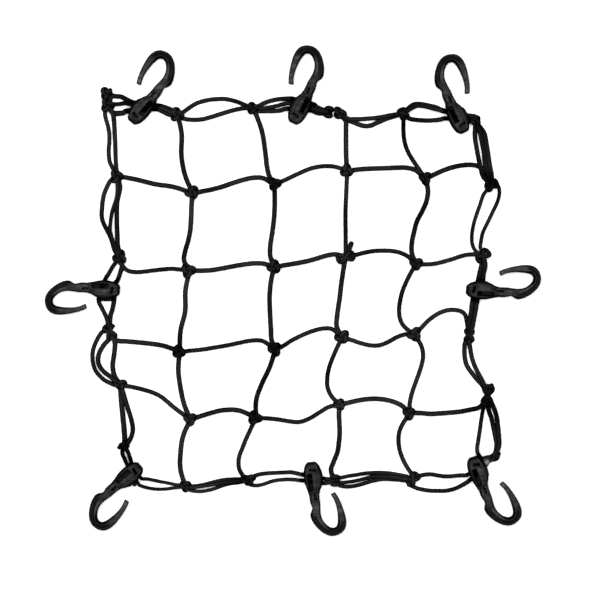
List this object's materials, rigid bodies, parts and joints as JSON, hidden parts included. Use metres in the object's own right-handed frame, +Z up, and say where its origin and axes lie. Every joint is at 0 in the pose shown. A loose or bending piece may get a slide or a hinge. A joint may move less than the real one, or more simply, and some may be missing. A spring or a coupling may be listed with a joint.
{
  "type": "elastic cargo net with hooks",
  "caption": "Knotted square net of round black elastic cord with a doubled border cord and one-piece plastic J-hooks, lying relaxed and flat.",
  "frame": {"origin": "on the floor under the middle of the whole outline, hooks included", "axes": "+X to the right hook, +Y to the three top hooks, +Z up from the floor the net lies on"},
  "size_m": [0.497, 0.4842, 0.012],
  "materials": {
    "mesh_cord": "black braided sheath over an elastic core",
    "border_cord": "black braided sheath over an elastic core, a little thinner than the mesh cord",
    "hook": "black moulded nylon with a soft sheen"
  },
  "bodies": {
    "root": {"mesh_cords": "mesh_cord", "border_cords": "border_cord", "hook_top_left": "hook", "hook_top_middle": "hook", "hook_top_right": "hook", "hook_left": "hook", "hook_right": "hook", "hook_bottom_left": "hook", "hook_bottom_middle": "hook", "hook_bottom_right": "hook"}
  },
  "joints": []
}
